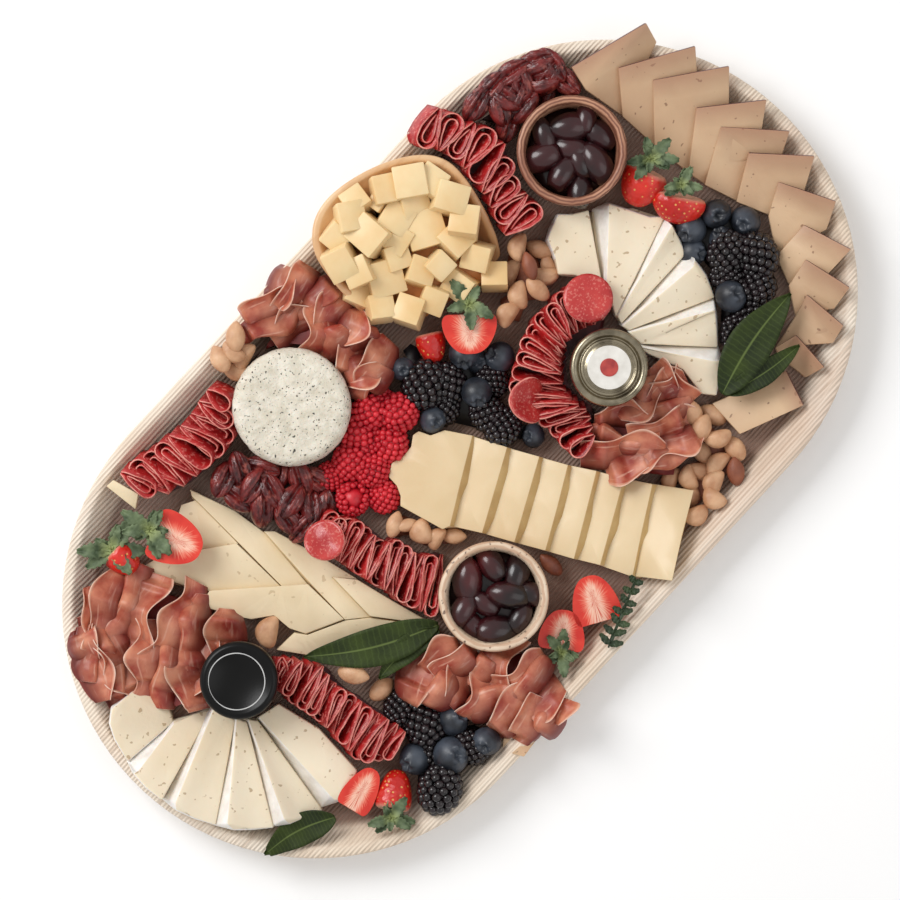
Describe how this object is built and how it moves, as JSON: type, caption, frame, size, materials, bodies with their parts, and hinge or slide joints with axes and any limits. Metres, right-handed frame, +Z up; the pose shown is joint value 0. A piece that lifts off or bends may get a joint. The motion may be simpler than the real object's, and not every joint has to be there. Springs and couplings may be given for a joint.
{
  "type": "charcuterie board",
  "caption": "Oblong ridged serving tray laid with sliced and soft cheeses, folded cured meats, fruit, nuts, leaves, olives in small bowls, a scoop of cheese cubes and lidded jars",
  "frame": {"origin": "centre of the tray's flat underside", "axes": "X along the tray's long axis, Y across it, Z up out of the food side; the scoop and the herbed cheese wheel are on the +Y side and the larger fan of smoked slices is at the +X end"},
  "size_m": [0.56, 0.317, 0.0524],
  "materials": {
    "tray_wood": "pale cream wood with fine raised ridges along its length, matte",
    "dark_bowl_wood": "brown turned wood, satin",
    "pale_bowl_wood": "pale turned wood with dark specks, satin",
    "scoop_wood": "amber to cream smooth wood, satin",
    "jar_glass": "clear glass over a pale filling, glossy",
    "jar_lid_metal": "pale gilt metal lid with fine turned rings, a paper disc and a red dot",
    "jar_lid_black": "black painted lid with a thin pale ring, satin",
    "smoked_cheese": "tan cheese with small holes and a dark rind, soft sheen",
    "yellow_cheese": "pale yellow cheese with ochre cut faces, soft sheen",
    "pale_cheese": "ivory cheese with faint holes, soft sheen",
    "soft_cheese": "cream paste under a bloomy white rind, soft sheen",
    "herbed_cheese": "white fresh cheese with black and green flecks, rough",
    "cured_ham": "translucent coral ham with pale fat edges, moist",
    "salami": "deep red salami with pink folds and pale fat, moist",
    "nut": "tan and brown nuts, dry",
    "glazed_pecan": "dark red-brown glazed pecans, glossy",
    "olive": "dark purple-black olives, wet gloss",
    "dark_berry": "near-black brambles and dark blue berries with bloom",
    "raspberry": "crimson drupelets, soft gloss",
    "strawberry": "red with seeds, pale cut faces and grey-green sepals, glossy",
    "sage_leaf": "deep green leaves with pale midribs, satin"
  },
  "bodies": {
    "root": {"tray": "tray_wood", "dark_bowl": "dark_bowl_wood", "pale_bowl": "pale_bowl_wood", "scoop": "scoop_wood", "jar_gilt": "jar_glass", "jar_black": "jar_glass", "lid_gilt": "jar_lid_metal", "lid_black": "jar_lid_black", "smoked_slices": "smoked_cheese", "smoked_end_slice": "smoked_cheese", "tan_slice": "smoked_cheese", "yellow_slices": "yellow_cheese", "cheese_cubes": "yellow_cheese", "pale_triangles": "pale_cheese", "pale_tip": "pale_cheese", "soft_wedges_left": "soft_cheese", "soft_wedges_right": "soft_cheese", "herb_cheese": "herbed_cheese", "ham_left": "cured_ham", "ham_top": "cured_ham", "ham_middle": "cured_ham", "ham_lower": "cured_ham", "salami_top": "salami", "salami_left": "salami", "salami_lower": "salami", "salami_middle": "salami", "salami_centre": "salami", "nuts_far": "nut", "nuts_row": "nut", "nuts_centre": "nut", "nuts_right": "nut", "walnut_left": "nut", "almond_upper": "nut", "almond_lower": "nut", "almond_bowl": "nut", "pecans_left": "glazed_pecan", "pecans_top": "glazed_pecan", "olives_dark_bowl": "olive", "olives_pale_bowl": "olive", "berries_middle": "dark_berry", "berries_right": "dark_berry", "berries_lower": "dark_berry", "raspberries": "raspberry", "strawberry_top_left": "strawberry", "strawberry_half_left": "strawberry", "strawberry_red_middle": "strawberry", "strawberry_half_middle": "strawberry", "strawberry_right_upper": "strawberry", "strawberry_right_lower": "strawberry", "strawberry_half_lower": "strawberry", "strawberry_slice_lower": "strawberry", "strawberry_half_bottom": "strawberry", "strawberry_bottom": "strawberry", "sage_middle": "sage_leaf", "sage_right": "sage_leaf", "sage_bottom": "sage_leaf", "thyme_sprig": "sage_leaf"}
  },
  "joints": []
}
